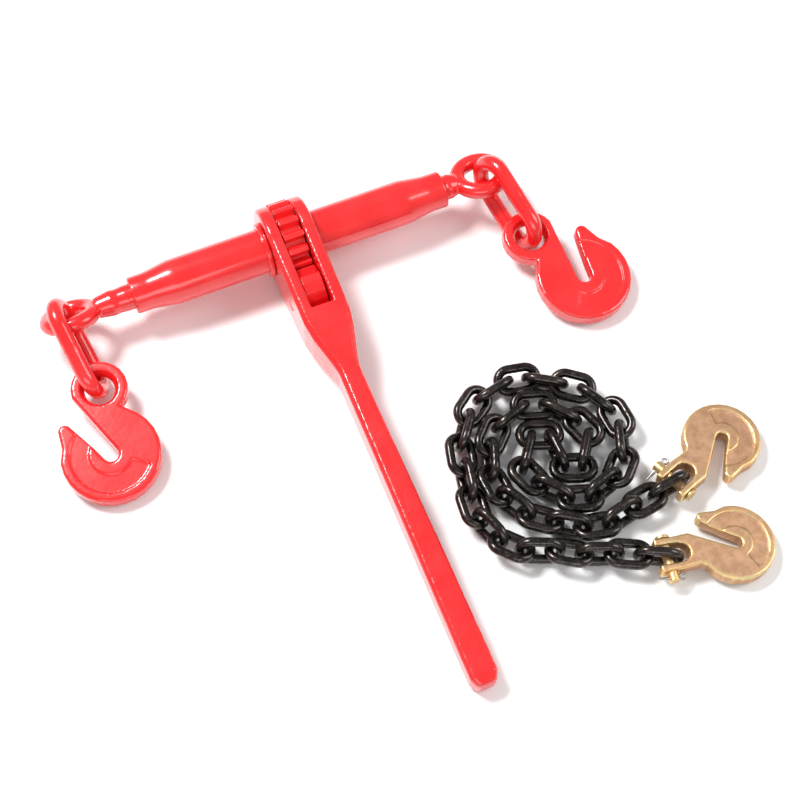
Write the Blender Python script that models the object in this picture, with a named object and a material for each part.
"""A ratchet load binder and its tie-down chain, lying ready on a floor.

World frame: +Z up with the floor at Z = 0, +X along the binder's barrel, and the handle pointing
to -Y. The chain lies in a coil beside the handle with a clevis grab hook on each end. The origin
is the middle of the whole kit's footprint. All sizes are in metres.
"""

import math

import bmesh
import bpy
import numpy as np
from mathutils import Matrix, Vector

MM = 0.001

# ---- clearances ----------------------------------------------------------------------------
fit_gap = 0.3 * MM  # left between pieces that touch
chain_gap = 0.45 * MM  # left between chain links that lie beside each other
link_play = 1.4 * MM  # how slack one chain link hangs in the next

# ---- barrel and its ratchet gear -----------------------------------------------------------
barrel_length = 250 * MM
barrel_radius = 17.2 * MM
barrel_neck_radius = 14.2 * MM
barrel_neck_length = 13 * MM
barrel_taper_length = 19 * MM
gear_teeth = 16
gear_tip_radius = 31.5 * MM
gear_root_radius = 25.6 * MM
gear_width = 15.6 * MM
collar_width = 3.6 * MM
collar_radius = 21 * MM

# ---- handle casting ------------------------------------------------------------------------
cheek_radius = 31 * MM
cheek_thickness = 9.4 * MM
handle_length = 372 * MM
neck_full_length = 78 * MM
shank_start = 122 * MM
shank_top_width = 16.5 * MM
shank_end_width = 20.5 * MM
shank_top_depth = 30 * MM
shank_end_depth = 20 * MM
slot_end = 69 * MM

# ---- pawl and its detent -------------------------------------------------------------------
pawl_pin_reach = 51 * MM  # barrel axis to pawl pin
pawl_pin_radius = 4 * MM
pawl_nose_reach = 23.4 * MM  # pawl pin to a nose's tip
pawl_nose_angle = math.radians(28)
plunger_radius = 2.8 * MM
plunger_length = 9 * MM
spring_length = 14 * MM
spring_turns = 6
spring_wire_radius = 0.45 * MM

# ---- eye screws ----------------------------------------------------------------------------
screw_radius = 10 * MM
screw_inside = 106 * MM
eye_mean_radius = 17.25 * MM
eye_bar_radius = 6.25 * MM
left_neck_out = 24 * MM  # barrel end to the eye's outside
right_neck_out = 8 * MM
left_eye_roll = math.radians(-37)
right_eye_roll = math.radians(-15)

# ---- connecting links ----------------------------------------------------------------------
coupler_length = 82 * MM
coupler_width = 43 * MM
coupler_wire_radius = 6.5 * MM

# ---- eye grab hooks ------------------------------------------------------------------------
hook_thickness = 12.5 * MM
hook_eye_radius = 21 * MM
hook_eye_hole = 11 * MM
hook_drop = 51 * MM  # eye centre to bowl centre
hook_bowl_radius = 36.5 * MM
hook_throat = 11.2 * MM

# ---- chain ---------------------------------------------------------------------------------
chain_wire_radius = 3.55 * MM
chain_pitch = 22 * MM
chain_inner_width = 10 * MM
coil_spacing = 20 * MM  # wanted from one turn to the next
coil_stretch = 8 * MM  # how much longer than round the coil is, each way from its middle
chain_to_barrel = 134.6 * MM  # from the barrel to the nearest of the coil and its hooks
chain_to_handle = 14 * MM  # from the side of the handle's head to the same
coil_both_arms = 15  # links each side of the middle one that are laid in pairs
long_arm_links = 27
short_arm_links = 17
long_arm_end = math.radians(-28)  # the last links' heading
short_arm_end = math.radians(10)
joined_links = 2  # the innermost links of each arm, made as one node with the middle one

# ---- clevis grab hooks ---------------------------------------------------------------------
clevis_thickness = 11 * MM
clevis_drop = 50 * MM  # pin centre to bowl centre
clevis_bowl_radius = 28.5 * MM
clevis_throat = 8.2 * MM
clevis_gap = 14 * MM
clevis_ear = 5.6 * MM
clevis_pin_radius = 4 * MM
clevis_head_height = 2.2 * MM
lower_hook_bend = math.radians(17)  # from the last link's heading to the hook's
upper_hook_bend = math.radians(13)
cotter_wire_radius = 0.9 * MM

# ---- worked out from the above -------------------------------------------------------------
axis_height = gear_tip_radius
head_half = gear_width / 2 + 0.9 * MM + cheek_thickness
slot_half = head_half - cheek_thickness
bore_radius = barrel_radius + fit_gap
handle_droop = math.asin((axis_height - shank_end_depth / 2) / handle_length)


# ---- materials -----------------------------------------------------------------------------
def material(name, colour, roughness, metallic):
    made = bpy.data.materials.new(name)
    made.use_nodes = True
    shader = made.node_tree.nodes["Principled BSDF"]
    shader.inputs["Base Color"].default_value = (*colour, 1)
    shader.inputs["Roughness"].default_value = roughness
    shader.inputs["Metallic"].default_value = metallic
    return made


for old in list(bpy.data.objects):
    bpy.data.objects.remove(old)

RED = material("red_paint", (0.83, 0.03, 0.03), 0.3, 0.0)
STEEL = material("bright_steel", (0.6, 0.6, 0.58), 0.35, 1.0)
BLACK = material("black_chain", (0.05, 0.045, 0.045), 0.35, 1.0)
GOLD = material("yellow_zinc", (0.75, 0.55, 0.28), 0.35, 1.0)


# ---- mesh helpers --------------------------------------------------------------------------
def add_mesh(name, points, faces, finish, parent=None, matrix=None):
    """A named object from points and faces, shaded smooth with its sharp edges kept."""
    mesh = bpy.data.meshes.new(name)
    mesh.from_pydata([tuple(p) for p in points], [], [tuple(f) for f in faces])
    shell = bmesh.new()
    shell.from_mesh(mesh)
    bmesh.ops.recalc_face_normals(shell, faces=shell.faces)
    shell.to_mesh(mesh)
    shell.free()
    return add_object(name, mesh, finish, parent, matrix)


def add_object(name, mesh, finish, parent=None, matrix=None):
    if not mesh.materials:
        mesh.materials.append(finish)
        mesh.shade_smooth()
        mesh.set_sharp_from_angle(angle=math.radians(38))
    thing = bpy.data.objects.new(name, mesh)
    bpy.context.scene.collection.objects.link(thing)
    thing.parent = parent
    if matrix is not None:
        thing.matrix_local = matrix
    return thing


def add_empty(name, matrix, parent=None):
    """A joint's frame: its origin is on the joint's axis."""
    thing = bpy.data.objects.new(name, None)
    thing.empty_display_size = 0.02
    bpy.context.scene.collection.objects.link(thing)
    thing.parent = parent
    thing.matrix_local = matrix
    return thing


def frame(origin, x_axis, y_axis):
    """A matrix whose X and Y axes run as given, with Z square to both."""
    x_axis = Vector(x_axis).normalized()
    z_axis = x_axis.cross(Vector(y_axis)).normalized()
    y_axis = z_axis.cross(x_axis)
    made = Matrix((x_axis, y_axis, z_axis)).transposed().to_4x4()
    made.translation = Vector(origin)
    return made


def lathe(profile, steps, ring=False):
    """Points and faces of a profile of (x, radius) turned round X. A ring's profile is closed."""
    points, faces = [], []
    for along, radius in profile:
        for i in range(steps):
            turn = 2 * math.pi * i / steps
            points.append((along, radius * math.cos(turn), radius * math.sin(turn)))
    rows = len(profile)
    for row in range(rows if ring else rows - 1):
        here, there = row * steps, (row + 1) % rows * steps
        for i in range(steps):
            j = (i + 1) % steps
            faces.append((here + i, here + j, there + j, there + i))
    if not ring:
        faces.append(range(steps))
        faces.append(range((rows - 1) * steps, rows * steps))
    return points, faces


def sweep(centres, radius, sides, closed=False):
    """Points and faces of a round bar along centres. Its cross-section keeps one flat-free side up."""
    centres = [Vector(c) for c in centres]
    count = len(centres)
    points, faces = [], []
    side = None
    for i, centre in enumerate(centres):
        if closed:
            along = (centres[(i + 1) % count] - centres[i - 1]).normalized()
        else:
            along = (centres[min(i + 1, count - 1)] - centres[max(i - 1, 0)]).normalized()
        if side is None:
            side = along.orthogonal()
        side = (side - along * side.dot(along)).normalized()
        up = along.cross(side)
        for k in range(sides):
            turn = 2 * math.pi * (k + 0.5) / sides
            points.append(centre + radius * (side * math.cos(turn) + up * math.sin(turn)))
    for row in range(count if closed else count - 1):
        here, there = row * sides, (row + 1) % count * sides
        for k in range(sides):
            j = (k + 1) % sides
            faces.append((here + k, here + j, there + j, there + k))
    if not closed:
        faces.append(range(sides))
        faces.append(range((count - 1) * sides, count * sides))
    return points, faces


def prism(outline, half, axis="Z"):
    """Points and faces of a flat outline thickened by half each way along an axis."""
    points, count = [], len(outline)
    for level in (-half, half):
        for a, b in outline:
            points.append((level, a, b) if axis == "X" else (a, b, level))
    faces = [range(count), range(count, 2 * count)]
    for i in range(count):
        j = (i + 1) % count
        faces.append((i, j, count + j, count + i))
    return points, faces


def arc(centre, radius, start, end, steps):
    """Points on an arc from one angle to another, in radians."""
    return [
        (
            centre[0] + radius * math.cos(start + (end - start) * i / steps),
            centre[1] + radius * math.sin(start + (end - start) * i / steps),
        )
        for i in range(steps + 1)
    ]


def cutter(name, points, faces, parent=None, matrix=None):
    thing = add_mesh(name, points, faces, STEEL, parent, matrix)
    thing.hide_render = True
    thing.display_type = "WIRE"
    return thing


def boolean(thing, other, operation):
    change = thing.modifiers.new(other.name, "BOOLEAN")
    change.operation = operation
    change.object = other
    change.solver = "EXACT"


def bevel(thing, width, segments=2, angle=40):
    change = thing.modifiers.new("rounded_edges", "BEVEL")
    change.width = width
    change.segments = segments
    change.limit_method = "ANGLE"
    change.angle_limit = math.radians(angle)


def stadium(half_straight, radius, per_end, per_side):
    """The centreline of a chain link, in its own XY plane with its length along X."""
    right = arc((half_straight, 0), radius, -math.pi / 2, math.pi / 2, per_end)
    left = arc((-half_straight, 0), radius, math.pi / 2, 3 * math.pi / 2, per_end)
    top = [(half_straight * (1 - 2 * i / per_side), radius) for i in range(1, per_side)]
    low = [(-half_straight * (1 - 2 * i / per_side), -radius) for i in range(1, per_side)]
    return [(x, y, 0) for x, y in right + top + left + low]


# ---- the kit's own frame -------------------------------------------------------------------
kit = add_empty("kit", Matrix())
barrel_frame = add_empty("barrel_axis", Matrix.Translation((0, 0, axis_height)), kit)


# ---- barrel, gear and collars --------------------------------------------------------------
def make_barrel():
    half = barrel_length / 2
    neck_end = half - barrel_neck_length
    taper_end = neck_end - barrel_taper_length
    bore = screw_radius + fit_gap
    chamfer = 1.2 * MM
    outer = [
        (half, barrel_neck_radius - chamfer),
        (half - chamfer, barrel_neck_radius),
        (neck_end, barrel_neck_radius),
        (neck_end - barrel_taper_length / 3, barrel_neck_radius + 0.8 * MM),
        (taper_end + barrel_taper_length / 4, barrel_radius - 0.5 * MM),
        (taper_end, barrel_radius),
    ]
    profile = [(-x, r) for x, r in outer] + outer[::-1] + [(half, bore), (-half, bore)]
    points, faces = lathe(profile, 28, ring=True)
    add_mesh("barrel_tube", points, faces, RED, barrel_frame)


def gear_ring(half):
    """The gear's two outlines, with one tooth centred towards the handle."""
    pitch = 2 * math.pi / gear_teeth
    tip, root = math.radians(3.7), math.radians(7.2)
    angles = []
    for tooth in range(gear_teeth):
        middle = tooth * pitch - math.pi / 2
        for offset, radius in (
            (-root, gear_root_radius),
            (-tip, gear_tip_radius),
            (tip, gear_tip_radius),
            (root, gear_root_radius),
        ):
            angles.append((middle + offset, radius))
    count, points, faces = len(angles), [], []
    for level in (-half, half):
        for turn, radius in angles:
            points.append((level, radius * math.sin(turn), radius * math.cos(turn)))
        for turn, _ in angles:
            points.append((level, bore_radius * math.sin(turn), bore_radius * math.cos(turn)))
    for i in range(count):
        j = (i + 1) % count
        faces.append((i, j, 2 * count + j, 2 * count + i))
        faces.append((count + i, 3 * count + i, 3 * count + j, count + j))
        faces.append((i, count + i, count + j, j))
        faces.append((2 * count + i, 2 * count + j, 3 * count + j, 3 * count + i))
    return points, faces


def make_gear():
    points, faces = gear_ring(gear_width / 2)
    add_mesh("ratchet_gear", points, faces, RED, barrel_frame, Matrix.Rotation(handle_droop, 4, "X"))


def make_collar():
    start = -head_half - fit_gap
    chamfer = 0.8 * MM
    profile = [
        (start, bore_radius),
        (start, collar_radius - chamfer),
        (start - chamfer, collar_radius),
        (start - collar_width + chamfer, collar_radius),
        (start - collar_width, collar_radius - chamfer),
        (start - collar_width, bore_radius),
    ]
    add_mesh("stop_collar", *lathe(profile, 28, ring=True), RED, barrel_frame)


# ---- handle --------------------------------------------------------------------------------
handle_frame = add_empty("handle_axis", Matrix.Rotation(handle_droop, 4, "X"), barrel_frame)


def loft(sections):
    """A bar through chamfered rectangles, each (y, half width, half depth, chamfer)."""
    points, faces = [], []
    for y, wide, deep, cut in sections:
        for a, b in (
            (wide - cut, -deep), (wide, -deep + cut), (wide, deep - cut), (wide - cut, deep),
            (-wide + cut, deep), (-wide, deep - cut), (-wide, -deep + cut), (-wide + cut, -deep),
        ):
            points.append((a, y, b))
    for row in range(len(sections) - 1):
        for k in range(8):
            j = (k + 1) % 8
            faces.append((8 * row + k, 8 * row + j, 8 * row + 8 + j, 8 * row + 8 + k))
    faces.append(range(8))
    faces.append(range(8 * len(sections) - 8, 8 * len(sections)))
    return points, faces


def make_handle():
    """One casting: two round cheeks, a neck with the slot through it, and the shank."""
    top_w, end_w = shank_top_width / 2, shank_end_width / 2
    top_d, end_d = shank_top_depth / 2, shank_end_depth / 2
    sections = [
        (-6 * MM, head_half, cheek_radius - 1.2 * MM, 2 * MM),
        (-36 * MM, head_half, 26.5 * MM, 2.4 * MM),
        (-neck_full_length, head_half, 21 * MM, 3 * MM),
        (-neck_full_length - 13 * MM, head_half - 2 * MM, 19 * MM, 3.4 * MM),
        (-shank_start + 8 * MM, top_w + 1.6 * MM, top_d + 0.8 * MM, 3.2 * MM),
        (-shank_start, top_w, top_d, 3 * MM),
        (-shank_start - 70 * MM, top_w + 0.5 * MM, top_d - 2 * MM, 2.6 * MM),
        (-handle_length + 24 * MM, end_w, end_d, 2.4 * MM),
        (-handle_length + 7 * MM, end_w, end_d, 2.4 * MM),
        (-handle_length + 1.6 * MM, end_w - 2.6 * MM, end_d - 2.2 * MM, 2.2 * MM),
        (-handle_length, end_w - 5 * MM, end_d - 4.4 * MM, 1.8 * MM),
    ]
    handle = add_mesh("handle", *loft(sections), RED, handle_frame)
    rim = 2 * MM
    head = [
        (-head_half, cheek_radius - rim),
        (-head_half + rim * 0.4, cheek_radius - rim * 0.4),
        (-head_half + rim, cheek_radius),
        (head_half - rim, cheek_radius),
        (head_half - rim * 0.4, cheek_radius - rim * 0.4),
        (head_half, cheek_radius - rim),
    ]
    boolean(handle, cutter("head_disc", *lathe(head, 36), handle_frame), "UNION")
    slot = prism([(-slot_end, -50 * MM), (40 * MM, -50 * MM), (40 * MM, 50 * MM), (-slot_end, 50 * MM)],
                 slot_half, axis="X")
    boolean(handle, cutter("slot_cut", *slot, handle_frame), "DIFFERENCE")
    long = 60 * MM
    bore = lathe([(-long, bore_radius), (long, bore_radius)], 28)
    boolean(handle, cutter("bore_cut", *bore, handle_frame), "DIFFERENCE")
    pin_hole = lathe([(-long, pawl_pin_radius + fit_gap), (long, pawl_pin_radius + fit_gap)], 16)
    here = Matrix.Translation((0, -pawl_pin_reach, 0))
    boolean(handle, cutter("pin_cut", *pin_hole, handle_frame, here), "DIFFERENCE")
    depth = spring_length + fit_gap
    hole = lathe([(-depth, plunger_radius + fit_gap), (10 * MM, plunger_radius + fit_gap)], 12)
    here = Matrix.Translation((0, -slot_end, 0)) @ Matrix.Rotation(math.pi / 2, 4, "Z")
    boolean(handle, cutter("spring_cut", *hole, handle_frame, here), "DIFFERENCE")


# ---- pawl ----------------------------------------------------------------------------------
pawl_frame = add_empty("pawl_axis", Matrix.Translation((0, -pawl_pin_reach, 0)), handle_frame)
heel_radius = slot_end - pawl_pin_reach - 4.6 * MM


def make_pawl():
    """A rocker with a nose above and below for the two ratchet directions and a thumb lobe each side."""
    nose = pawl_nose_reach
    tip = Vector((nose * math.cos(pawl_nose_angle), nose * math.sin(pawl_nose_angle)))
    lobe = 20 * MM
    upper = [
        (13 * MM, 0.0),
        (14.5 * MM, 4.5 * MM),
        (tip.x, tip.y - 2 * MM),
        (tip.x - 0.9 * MM, tip.y + 0.9 * MM),
        (13 * MM, 15.5 * MM),
        (8.5 * MM, lobe),
        (2 * MM, lobe + 0.4 * MM),
        (-4.5 * MM, lobe - 3 * MM),
        (-9.5 * MM, lobe - 8.5 * MM),
        (-heel_radius * 0.86, heel_radius * 0.5),
    ]
    heel = [(-heel_radius, 2.2 * MM), (-heel_radius, -2.2 * MM)]
    outline = upper + heel + [(a, -b) for a, b in upper[:0:-1]]
    pawl = add_mesh("pawl", *prism(outline, slot_half - 0.9 * MM, axis="X"), RED, pawl_frame)
    long = 20 * MM
    hole = lathe([(-long, pawl_pin_radius + fit_gap), (long, pawl_pin_radius + fit_gap)], 16)
    boolean(pawl, cutter("pawl_bore", *hole, pawl_frame), "DIFFERENCE")


def make_pawl_pin():
    half = head_half - 0.3 * MM
    chamfer = 0.7 * MM
    profile = [
        (-half, pawl_pin_radius - chamfer), (-half + chamfer, pawl_pin_radius),
        (half - chamfer, pawl_pin_radius), (half, pawl_pin_radius - chamfer),
    ]
    add_mesh("pawl_pin", *lathe(profile, 16), STEEL, pawl_frame)


def make_detent():
    """A sprung plunger in the neck that presses on the pawl's heel."""
    front = -heel_radius - fit_gap
    along = Matrix.Rotation(math.pi, 4, "Z") @ Matrix.Rotation(math.pi / 2, 4, "Z")
    profile = [
        (0, plunger_radius * 0.4), (0.8 * MM, plunger_radius * 0.8), (2 * MM, plunger_radius),
        (plunger_length, plunger_radius),
    ]
    here = Matrix.Translation((0, front, 0)) @ along
    add_mesh("detent_plunger", *lathe(profile, 12), STEEL, pawl_frame, here)
    start = -pawl_pin_reach + front - plunger_length - fit_gap - spring_wire_radius
    end = -slot_end - spring_length + fit_gap + spring_wire_radius
    radius = plunger_radius - spring_wire_radius - 0.1 * MM
    steps = 10 * spring_turns
    path = []
    for i in range(steps + 1):
        turn = 2 * math.pi * i / 10
        along = start + (end - start) * i / steps
        path.append((radius * math.cos(turn), along, radius * math.sin(turn)))
    add_mesh("detent_spring", *sweep(path, spring_wire_radius, 6), STEEL, handle_frame)


# ---- eye screws ----------------------------------------------------------------------------
def make_eye_screw(side, neck_out, roll):
    """side is -1 for the left and 1 for the right. Returns the eye's frame, which has X outwards."""
    name = "left" if side < 0 else "right"
    reach = barrel_length / 2 + neck_out + eye_mean_radius + eye_bar_radius
    spot = Matrix.Translation((side * reach, 0, 0)) @ Matrix.Rotation(roll, 4, "X")
    eye = add_empty(name + "_eye", spot, barrel_frame)
    ring = [(eye_mean_radius * math.cos(t), eye_mean_radius * math.sin(t), 0)
            for t in (2 * math.pi * i / 24 for i in range(24))]
    screw = add_mesh(name + "_eye_screw", *sweep(ring, eye_bar_radius, 10, closed=True), RED, eye)
    outer = eye_mean_radius + eye_bar_radius
    shoulder = [
        (eye_mean_radius - 2 * MM, 5 * MM),
        (eye_mean_radius + 2.5 * MM, 8.6 * MM),
        (outer + neck_out * 0.35, screw_radius),
        (outer + neck_out - 0.4 * MM, screw_radius),
        (outer + neck_out + screw_inside - 3 * MM, screw_radius),
        (outer + neck_out + screw_inside, screw_radius - 2.4 * MM),
    ]
    shank = cutter(name + "_shank", *lathe([(-side * x, r) for x, r in shoulder], 20), eye)
    boolean(screw, shank, "UNION")
    return eye


left_eye = make_eye_screw(-1, left_neck_out, left_eye_roll)
right_eye = make_eye_screw(1, right_neck_out, right_eye_roll)


# ---- connecting links ----------------------------------------------------------------------
coupler_bend = coupler_width / 2 - coupler_wire_radius
coupler_straight = coupler_length / 2 - coupler_width / 2
COUPLER_PATH = np.array(stadium(coupler_straight, coupler_bend, 14, 6))
RING_TURNS = np.linspace(0, 2 * math.pi, 40, endpoint=False)
RING_PATH = np.stack([np.cos(RING_TURNS), np.sin(RING_TURNS), 0 * RING_TURNS], axis=1)
hook_ring_radius = (hook_eye_radius + hook_eye_hole) / 2 + 0.2 * MM
hook_ring_bar = hook_thickness / 2 + 0.55 * MM


def unit(vector):
    return vector / math.sqrt(vector @ vector)


def turned_axes(along, roll):
    """Axes with X along a direction and Y standing up, then rolled about X."""
    side = unit(np.cross([0, 0, 1.0], along))
    up = np.cross(along, side)
    across = up * math.cos(roll) + side * math.sin(roll)
    return np.array([along, across, np.cross(along, across)])


def nearest(one, other):
    return math.sqrt(((one[:, None] - other[None]) ** 2).sum(-1).min())


def hook_axes(eye_height, heading, flipped):
    """A flat hook whose bowl rests on the floor. X is across it and Y runs from bowl to eye."""
    reach = hook_drop + hook_bowl_radius
    tilt = math.asin((eye_height - hook_thickness / 2 - fit_gap) / reach)
    flat = np.array([math.cos(heading), math.sin(heading), 0])
    up = -flat * math.cos(tilt) + np.array([0, 0, math.sin(tilt)])
    across = unit(np.cross(up, [0, 0, 1.0])) * (-1 if flipped else 1)
    return np.array([across, up, np.cross(across, up)])


def settle(eye, wish, flipped):
    """Moves a connecting link and its hook from their wished places until nothing touches.

    wish is the link's centre (3), its direction's x and z, its roll, the hook's eye centre (3)
    and the hook's heading. The link starts threaded squarely through the eye.
    """
    eye_spot = np.array(eye.matrix_world.translation)
    eye_ring = eye_spot + RING_PATH * eye_mean_radius @ np.array(eye.matrix_world.to_3x3()).T
    scale = np.array([1, 1, 1, 0.03, 0.03, 0.03, 1, 1, 1, 0.08])

    def shapes(pose):
        along = unit(np.array([pose[3], -1.0, pose[4]]))
        link = pose[:3] + COUPLER_PATH @ turned_axes(along, pose[5])
        ring = pose[6:9] + RING_PATH * hook_ring_radius @ hook_axes(pose[8], pose[9], flipped)
        return link, ring

    def cost(pose):
        link, ring = shapes(pose)
        short = [
            nearest(link, eye_ring) - eye_bar_radius - coupler_wire_radius - fit_gap,
            nearest(link, ring) - hook_ring_bar - coupler_wire_radius - fit_gap,
            nearest(eye_ring, ring) - hook_ring_bar - eye_bar_radius - 1.5 * MM,
            link[:, 2].min() - coupler_wire_radius - 0.15 * MM,
            pose[8] - hook_thickness / 2 - 2 * MM,
        ]
        misses = ((pose - wish) * scale) ** 2
        return misses.sum() + 4000 * sum(min(s, 0) ** 2 for s in short)

    bar = eye_ring[eye_ring[:, 1].argmin()]
    along = unit(np.array([wish[3], -1.0, wish[4]]))
    pose = np.array(wish)
    pose[5] = 0
    pose[:3] = bar + along * (coupler_length / 2 - 2 * coupler_wire_radius - eye_bar_radius - fit_gap)
    pose[6:9] = pose[:3] + along * (coupler_length / 2 - 2 * coupler_wire_radius
                                    - hook_ring_bar - fit_gap + hook_ring_radius)
    pose[8] = wish[8]
    best, step = cost(pose), 2 * MM
    while step > 0.01 * MM:
        moved = False
        for k in range(len(pose)):
            for way in (step, -step):
                trial = pose.copy()
                trial[k] += way / scale[k]
                value = cost(trial)
                if value < best:
                    pose, best, moved = trial, value, True
        if not moved:
            step /= 2
    return pose


def make_coupler(name, pose, eye):
    """The link, and the frame of the eye's bar inside it, which the link swings on."""
    axes = turned_axes(unit(np.array([pose[3], -1.0, pose[4]])), pose[5])
    turns = RING_PATH @ np.array(eye.matrix_world.to_3x3()).T
    spots = np.array(eye.matrix_world.translation) + turns * eye_mean_radius
    nearest_bar = ((spots - pose[:3]) ** 2).sum(-1).argmin()
    tangent = np.cross(np.array(eye.matrix_world.to_3x3())[:, 2], turns[nearest_bar])
    add_empty(name + "_axis", frame(spots[nearest_bar], tangent, turns[nearest_bar]), kit)
    here = Matrix(axes.tolist()).transposed().to_4x4()
    here.translation = pose[:3]
    path = stadium(coupler_straight, coupler_bend, 8, 3)
    add_mesh(name, *sweep(path, coupler_wire_radius, 10, closed=True), RED, kit, here)


# ---- grab hooks ----------------------------------------------------------------------------
throat_lean = math.radians(33)


def hook_outline(bowl_radius, throat, drop, top):
    """A grab hook's outline round its bowl's centre, with its throat leaning to the left.

    top is a list of points from the throat's shank side, over the eye or clevis, to the bowl's
    right-hand side.
    """
    slot = Vector((-math.sin(throat_lean), math.cos(throat_lean)))
    left = Vector((-slot.y, slot.x))
    half = throat / 2
    finger = bowl_radius * 0.27
    lean = math.atan2(slot.y, slot.x)
    tip = slot * bowl_radius * 0.98 + left * (half + finger * 0.62 + 0.4 * MM)
    tip_radius = finger * 0.52
    outline = arc((0, 0), bowl_radius, math.radians(62), math.radians(-180), 18)
    outline += [tuple(slot * bowl_radius * 0.74 + left * bowl_radius * 0.62)]
    outline += arc(tip, tip_radius, lean + math.radians(80), lean - math.radians(75), 4)
    outline += [tuple(slot * bowl_radius * 0.3 + left * half)]
    outline += arc((0, 0), half, lean + math.pi / 2, lean + 1.5 * math.pi, 8)
    return outline + [(x, y + drop) for x, y in top]


def make_hook(name, here, finish, thickness, outline, rim, cuts):
    hook = add_mesh(name, *prism(outline, thickness / 2), finish, kit, here)
    bevel(hook, rim)
    for label, shape, spot in cuts:
        boolean(hook, cutter(name + label, *shape, kit, here @ spot), "DIFFERENCE")
    return hook


def make_eye_hook(name, pose, flipped):
    here = Matrix(hook_axes(pose[8], pose[9], flipped).tolist()).transposed().to_4x4()
    here.translation = Vector(pose[6:9]) - here.to_3x3() @ Vector((0, hook_drop, 0))
    top = arc((0, 0), hook_eye_radius, math.radians(190), math.radians(-50), 14)
    outline = hook_outline(hook_bowl_radius, hook_throat, hook_drop, top)
    half = hook_thickness / 2
    flare = 3.2 * MM
    hole = [
        (-half - 1 * MM, hook_eye_hole + flare + 1 * MM), (-half, hook_eye_hole + flare),
        (-half * 0.45, hook_eye_hole + flare * 0.25), (0, hook_eye_hole),
        (half * 0.45, hook_eye_hole + flare * 0.25), (half, hook_eye_hole + flare),
        (half + 1 * MM, hook_eye_hole + flare + 1 * MM),
    ]
    spot = Matrix.Translation((0, hook_drop, 0)) @ Matrix.Rotation(math.pi / 2, 4, "Y")
    cuts = [("_eye_cut", lathe(hole, 20), spot)]
    make_hook(name, here, RED, hook_thickness, outline, 2.2 * MM, cuts)
    add_empty(name + "_axis", here @ Matrix.Translation(
        (0, hook_drop + (hook_eye_radius + hook_eye_hole) / 2, 0)), kit)


# ---- chain ---------------------------------------------------------------------------------
wire_out = (chain_pitch + 2 * chain_wire_radius) / 2  # link centre to its end wire's centre
wire_bend = chain_inner_width / 2 + chain_wire_radius
wire_straight = wire_out - wire_bend
pivot_in = wire_out - 2 * chain_wire_radius - link_play  # link centre to the next link's wire
chain_height = wire_bend + chain_wire_radius + 0.1 * MM
LINK_PATH = np.array(stadium(wire_straight, wire_bend, 12, 6))


def pivot_reach(roll):
    """How far a link's turning point is from its centre: at its own end wire when it stands up,
    and at the next link's wire when it lies flat."""
    return pivot_in * math.cos(roll) ** 2 + wire_out * math.sin(roll) ** 2


def link_axes(heading, roll):
    along = np.array([math.cos(heading), math.sin(heading), 0])
    across = np.array([-math.sin(heading), math.cos(heading), 0]) * math.cos(roll)
    across = across + np.array([0, 0, math.sin(roll)])
    return along, across, np.cross(along, across)


def wire_path(centre, heading, roll):
    return centre + LINK_PATH @ np.array(link_axes(heading, roll))


def wire_gap(one, other):
    """The space between two links' wires."""
    if np.abs(one.mean(0) - other.mean(0)).max() > 2 * (wire_out + chain_wire_radius):
        return 1.0
    apart = one[:, None] - other[None]
    return math.sqrt((apart**2).sum(-1).min()) - 2 * chain_wire_radius


def link_roll(number, left=9):
    """Even links stand and odd ones lie flat. From the middle outwards they lean over more, and
    the last ones, with fewer links left after them, come upright again for the hook."""
    lean = math.radians(20) * min(1.0, number / 8, left / 3)
    return (math.pi / 2 if number % 2 == 0 else 0.0) - lean


def next_links(last, number, roll, neighbours, mirrored, wish):
    """Every way to hang a link on the last one that keeps clear of its neighbours, best last."""
    found = []
    for degrees in range(75, -50, -3):
        heading = last["heading"] + math.radians(degrees)
        along = np.array([math.cos(heading), math.sin(heading), 0])
        centre = last["pivot"] + pivot_reach(roll) * along
        wire = wire_path(centre, heading, roll)
        if wire_gap(wire, last["wire"]) < fit_gap * 1.2:
            continue
        twin = wire * [-1, -1, 1] if mirrored else None
        others = neighbours + ([twin] if mirrored else [])
        if any(wire_gap(wire, other) < chain_gap for other in others):
            continue
        link = {
            "number": number, "heading": heading, "roll": roll, "centre": centre, "wire": wire,
            "pivot": centre + pivot_reach(roll) * along, "arm": last["arm"],
        }
        found.append((wish(link, last), degrees, link))
    found.sort(key=lambda entry: (-entry[0], entry[1]))
    return [link for _, _, link in found]


def spiral_wish(link, last):
    """How far a link's end is from a spiral that grows by one spacing every half turn."""
    x, y, _ = link["pivot"] * link["arm"]
    y = math.copysign(max(abs(y) - coil_stretch, 0), y)
    turn = math.atan2(y, x) - last["turn"]
    link["turn"] = last["turn"] + (turn + math.pi) % (2 * math.pi) - math.pi
    start = wire_out - coil_stretch + 4 * MM
    wanted = start + coil_spacing / math.pi * (link["turn"] - math.pi / 2)
    return abs(math.hypot(x, y) - wanted)


def half_turned(link):
    """The link opposite this one, half a turn round the coil's middle."""
    return {
        **link, "arm": -1, "heading": link["heading"] + math.pi, "centre": link["centre"] * [-1, -1, 1],
        "wire": link["wire"] * [-1, -1, 1], "pivot": link["pivot"] * [-1, -1, 1],
    }


def lay(arm, count, ways):
    """Adds links to an arm until it has count. Where a link can't be placed, the one before it
    takes its next best way."""
    fixed, choices = len(arm), []
    while len(arm) < count:
        if len(choices) <= len(arm) - fixed:
            choices.append(ways(arm))
        if choices[-1]:
            arm.append(choices[-1].pop())
        elif len(arm) > fixed:
            choices.pop()
            arm.pop()
        else:
            raise ValueError("the coil is too tight for link %d" % len(arm))
    return arm


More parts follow.
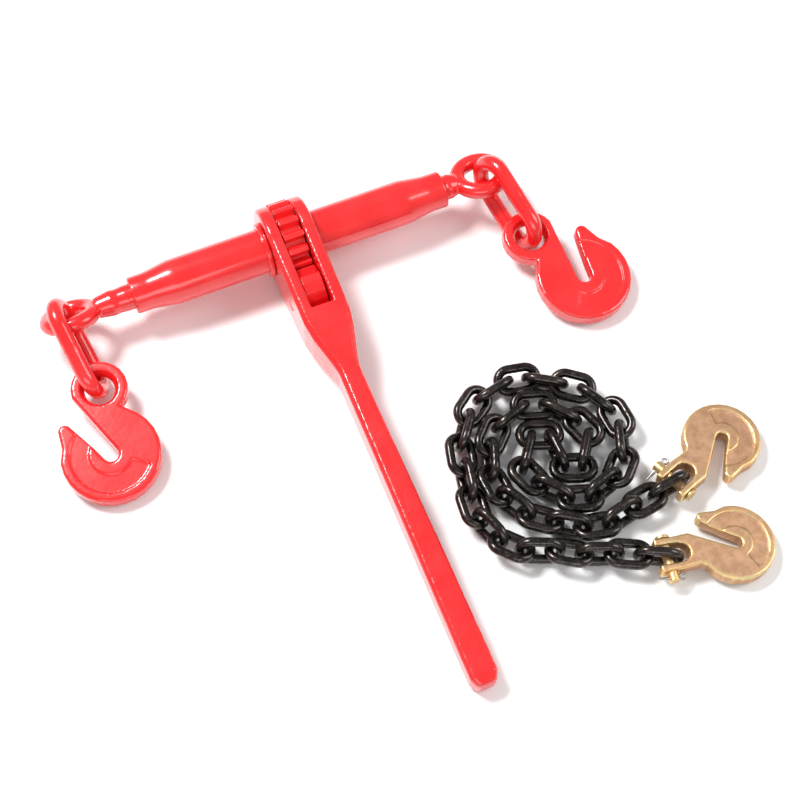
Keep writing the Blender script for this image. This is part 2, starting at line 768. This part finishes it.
def lay_pairs():
    """The coil's inner links, laid as mirrored pairs round the middle one."""
    roll = link_roll(0)
    centre = np.array([0, 0, chain_height])
    middle = {
        "number": 0, "arm": 1, "heading": math.pi / 2, "roll": roll, "centre": centre,
        "wire": wire_path(centre, math.pi / 2, roll), "turn": math.pi / 2,
        "pivot": centre + np.array([0, pivot_reach(roll), 0]),
    }

    def ways(arm):
        inner = [link["wire"] for link in arm[:-1]]
        twins = [link["wire"] * [-1, -1, 1] for link in arm[1:]]
        roll = link_roll(len(arm))
        return next_links(arm[-1], len(arm), roll, inner + twins, True, spiral_wish)

    return lay([middle], coil_both_arms, ways)


def extend(arm, other, count, last_heading):
    """More links on one arm, the last two of them turning towards a heading."""

    def to_heading(link, last):
        link["turn"] = last["turn"]
        return abs(math.remainder(link["heading"] - last_heading, 2 * math.pi))

    def ways(arm):
        number = len(arm)
        wish = to_heading if number >= count - 2 else spiral_wish
        roll = link_roll(number, count - 1 - number)
        around = [link["wire"] for link in arm[:-1] + other]
        return next_links(arm[-1], number, roll, around, False, wish)

    return lay(arm, count, ways)


long_arm = lay_pairs()
short_arm = [long_arm[0]] + [half_turned(link) for link in long_arm[1:]]
short_arm = extend(short_arm, long_arm[1:], short_arm_links, short_arm_end)
long_arm = extend(long_arm, short_arm[1:], long_arm_links, long_arm_end)


def chain_reach(direction):
    """How far the coil and its hooks reach in a direction, from the coil's middle."""
    direction = np.array(direction)
    reaches = [(link["wire"] @ direction).max() + chain_wire_radius for link in long_arm + short_arm]
    for link, bend in ((long_arm[-1], lower_hook_bend), (short_arm[-1], upper_hook_bend)):
        end = link["centre"] + wire_out * link_axes(link["heading"], link["roll"])[0]
        bowl = end + clevis_drop * link_axes(link["heading"] + bend, link["roll"])[0]
        reaches.append(bowl @ direction + clevis_bowl_radius)
    return max(reaches)


coil_centre = Vector((
    head_half + chain_to_handle + chain_reach((-1, 0, 0)),
    -barrel_radius - chain_to_barrel - chain_reach((0, 1, 0)),
    0,
))


def link_matrix(link):
    along, across, normal = link_axes(link["heading"], link["roll"])
    made = Matrix((along, across, normal)).transposed().to_4x4()
    made.translation = coil_centre + Vector(link["centre"])
    return made


def weld_dot(name, one, other):
    """A small ball that joins two links where their wires come closest."""
    apart = ((one["wire"][:, None] - other["wire"][None]) ** 2).sum(-1)
    here, there = np.unravel_index(apart.argmin(), apart.shape)
    middle = Vector((one["wire"][here] + other["wire"][there]) / 2) + coil_centre
    steps = [(2.6 * MM * -math.cos(t), 2.6 * MM * math.sin(t)) for t in (0.3, 0.9, 1.57, 2.2, 2.8)]
    return cutter(name, *lathe(steps, 7), kit, Matrix.Translation(middle))


def make_chain():
    """The innermost links are joined as one node, and every other link is its own."""
    coarse = sweep(stadium(wire_straight, wire_bend, 4, 1), chain_wire_radius, 6, closed=True)
    shape = sweep(stadium(wire_straight, wire_bend, 8, 2), chain_wire_radius, 10, closed=True)
    joined = add_mesh("coil_centre_links", *shape, BLACK, kit, link_matrix(long_arm[0]))
    pattern = cutter("link_pattern", *coarse, kit).data
    for arm_name, arm in (("long", long_arm), ("short", short_arm)):
        for last, link in zip(arm, arm[1:]):
            label = "%s_arm_link_%02d" % (arm_name, link["number"])
            if link["number"] > joined_links:
                add_object(label, pattern, BLACK, kit, link_matrix(link))
                continue
            boolean(joined, cutter(label + "_joined", *shape, kit, link_matrix(link)), "UNION")
            boolean(joined, weld_dot(label + "_weld", last, link), "UNION")


# ---- clevis grab hooks ---------------------------------------------------------------------
ear_outer = clevis_gap / 2 + clevis_ear
ear_radius = 8.2 * MM


def clevis_top():
    """The fork, from the shank side round both ears to the bowl side, about the pin's centre."""
    half = clevis_gap / 2
    bottom = -8.7 * MM  # where the fork's round bottom starts
    return [
        (-ear_outer - 0.6 * MM, bottom - 8.8 * MM),
        (-ear_outer, bottom + 1.2 * MM),
        (-ear_outer, ear_radius),
        (-half, ear_radius),
        *arc((0, bottom), half, math.pi, 2 * math.pi, 6),
        (half, ear_radius),
        (ear_outer, ear_radius),
        (ear_outer, bottom + 2.2 * MM),
        (ear_outer - 1 * MM, bottom - 7.8 * MM),
        (ear_outer - 1.5 * MM, bottom - 12.8 * MM),
    ]


def make_clevis_hook(name, link, bend, flipped):
    """bend turns the hook from the last link's heading, in the floor's plane."""
    heading = link["heading"] + bend
    along = Vector((math.cos(heading), math.sin(heading), 0))
    last = Vector((math.cos(link["heading"]), math.sin(link["heading"]), 0))
    pin_in_link = wire_out - (chain_wire_radius + clevis_pin_radius + fit_gap) / math.cos(bend)
    pin = coil_centre + Vector(link["centre"]) + last * pin_in_link
    reach = clevis_drop + clevis_bowl_radius
    tilt = math.asin((pin.z - clevis_thickness / 2 - fit_gap) / reach)
    up = -along * math.cos(tilt) + Vector((0, 0, math.sin(tilt)))
    across = up.cross(Vector((0, 0, 1))).normalized() * (-1 if flipped else 1)
    here = frame(pin - up * clevis_drop, across, up)
    pin_frame = add_empty(name + "_axis", frame(pin, across, up), kit)
    outline = hook_outline(clevis_bowl_radius, clevis_throat, clevis_drop, clevis_top())
    hole_radius = clevis_pin_radius + fit_gap
    hole = lathe([(-40 * MM, hole_radius), (40 * MM, hole_radius)], 12)
    spot = Matrix.Translation((0, clevis_drop, 0))
    make_hook(name, here, GOLD, clevis_thickness, outline, 1.3 * MM, [("_pin_cut", hole, spot)])
    head = clevis_head_height
    tail = ear_outer + 6.6 * MM
    profile = [
        (-ear_outer - head - fit_gap, clevis_pin_radius + 0.9 * MM),
        (-ear_outer - head - fit_gap + 0.5 * MM, clevis_pin_radius + 1.4 * MM),
        (-ear_outer - fit_gap, clevis_pin_radius + 1.4 * MM),
        (-ear_outer - fit_gap, clevis_pin_radius),
        (tail - 0.8 * MM, clevis_pin_radius),
        (tail, clevis_pin_radius - 0.8 * MM),
    ]
    pin_body = add_mesh(name + "_pin", *lathe(profile, 12), GOLD, pin_frame)
    cotter_at = ear_outer + 3.6 * MM
    through = lathe([(-10 * MM, cotter_wire_radius * 1.5), (10 * MM, cotter_wire_radius * 1.5)], 8)
    spot = Matrix.Translation((cotter_at, 0, 0)) @ Matrix.Rotation(math.pi / 2, 4, "Z")
    boolean(pin_body, cutter(name + "_cotter_cut", *through, pin_frame, spot), "DIFFERENCE")
    ring = 2.1 * MM
    start = clevis_pin_radius + ring + 0.6 * MM
    loop = [(x + cotter_at, y + start, 0) for x, y in arc((0, 0), ring, -1.2, 1.5 * math.pi - 0.5, 8)]
    path = [
        (cotter_at, -clevis_pin_radius - 9 * MM, 4 * MM),
        (cotter_at, -clevis_pin_radius - 3 * MM, 1 * MM),
        (cotter_at, -clevis_pin_radius, 0),
        (cotter_at, 0, 0),
        (cotter_at, clevis_pin_radius + 0.2 * MM, 0),
    ]
    add_mesh(name + "_cotter", *sweep(path + loop[:-1], cotter_wire_radius, 6), STEEL, pin_frame)


make_barrel()
make_gear()
make_collar()
make_handle()
make_pawl()
make_pawl_pin()
make_detent()

bpy.context.view_layer.update()
left_spot = left_eye.matrix_world.translation
right_spot = right_eye.matrix_world.translation
left_wish = np.array([
    left_spot.x - 3 * MM, left_spot.y - 22 * MM, 26 * MM, 0.05, -0.3, math.radians(-36),
    left_spot.x + 2.3 * MM, left_spot.y - 56 * MM, 16 * MM, math.atan2(-0.986, -0.167),
])
right_wish = np.array([
    right_spot.x + 10.7 * MM, right_spot.y - 29 * MM, 26 * MM, 0.22, -0.35, math.radians(13.5),
    right_spot.x + 15.7 * MM, right_spot.y - 57 * MM, 16 * MM, math.atan2(-0.867, 0.498),
])
left_pose = settle(left_eye, left_wish, False)
right_pose = settle(right_eye, right_wish, True)
make_coupler("left_coupler", left_pose, left_eye)
make_coupler("right_coupler", right_pose, right_eye)
make_eye_hook("left_grab_hook", left_pose, False)
make_eye_hook("right_grab_hook", right_pose, True)
make_chain()
make_clevis_hook("lower_clevis_hook", long_arm[-1], lower_hook_bend, flipped=True)
make_clevis_hook("upper_clevis_hook", short_arm[-1], upper_hook_bend, flipped=False)


# ---- put the origin under the middle of the kit --------------------------------------------
def visible_bounds():
    """The lowest and highest corners of everything that isn't a cutter."""
    graph = bpy.context.evaluated_depsgraph_get()
    low, high = Vector((9, 9, 9)), Vector((-9, -9, -9))
    for thing in bpy.data.objects:
        if thing.type != "MESH" or thing.hide_render:
            continue
        solid = thing.evaluated_get(graph)
        for vertex in solid.data.vertices:
            spot = solid.matrix_world @ vertex.co
            low = Vector(map(min, low, spot))
            high = Vector(map(max, high, spot))
    return low, high


bpy.context.view_layer.update()
kit_low, kit_high = visible_bounds()
kit_middle = (kit_low + kit_high) / 2
kit.location = (-kit_middle.x, -kit_middle.y, -kit_low.z)
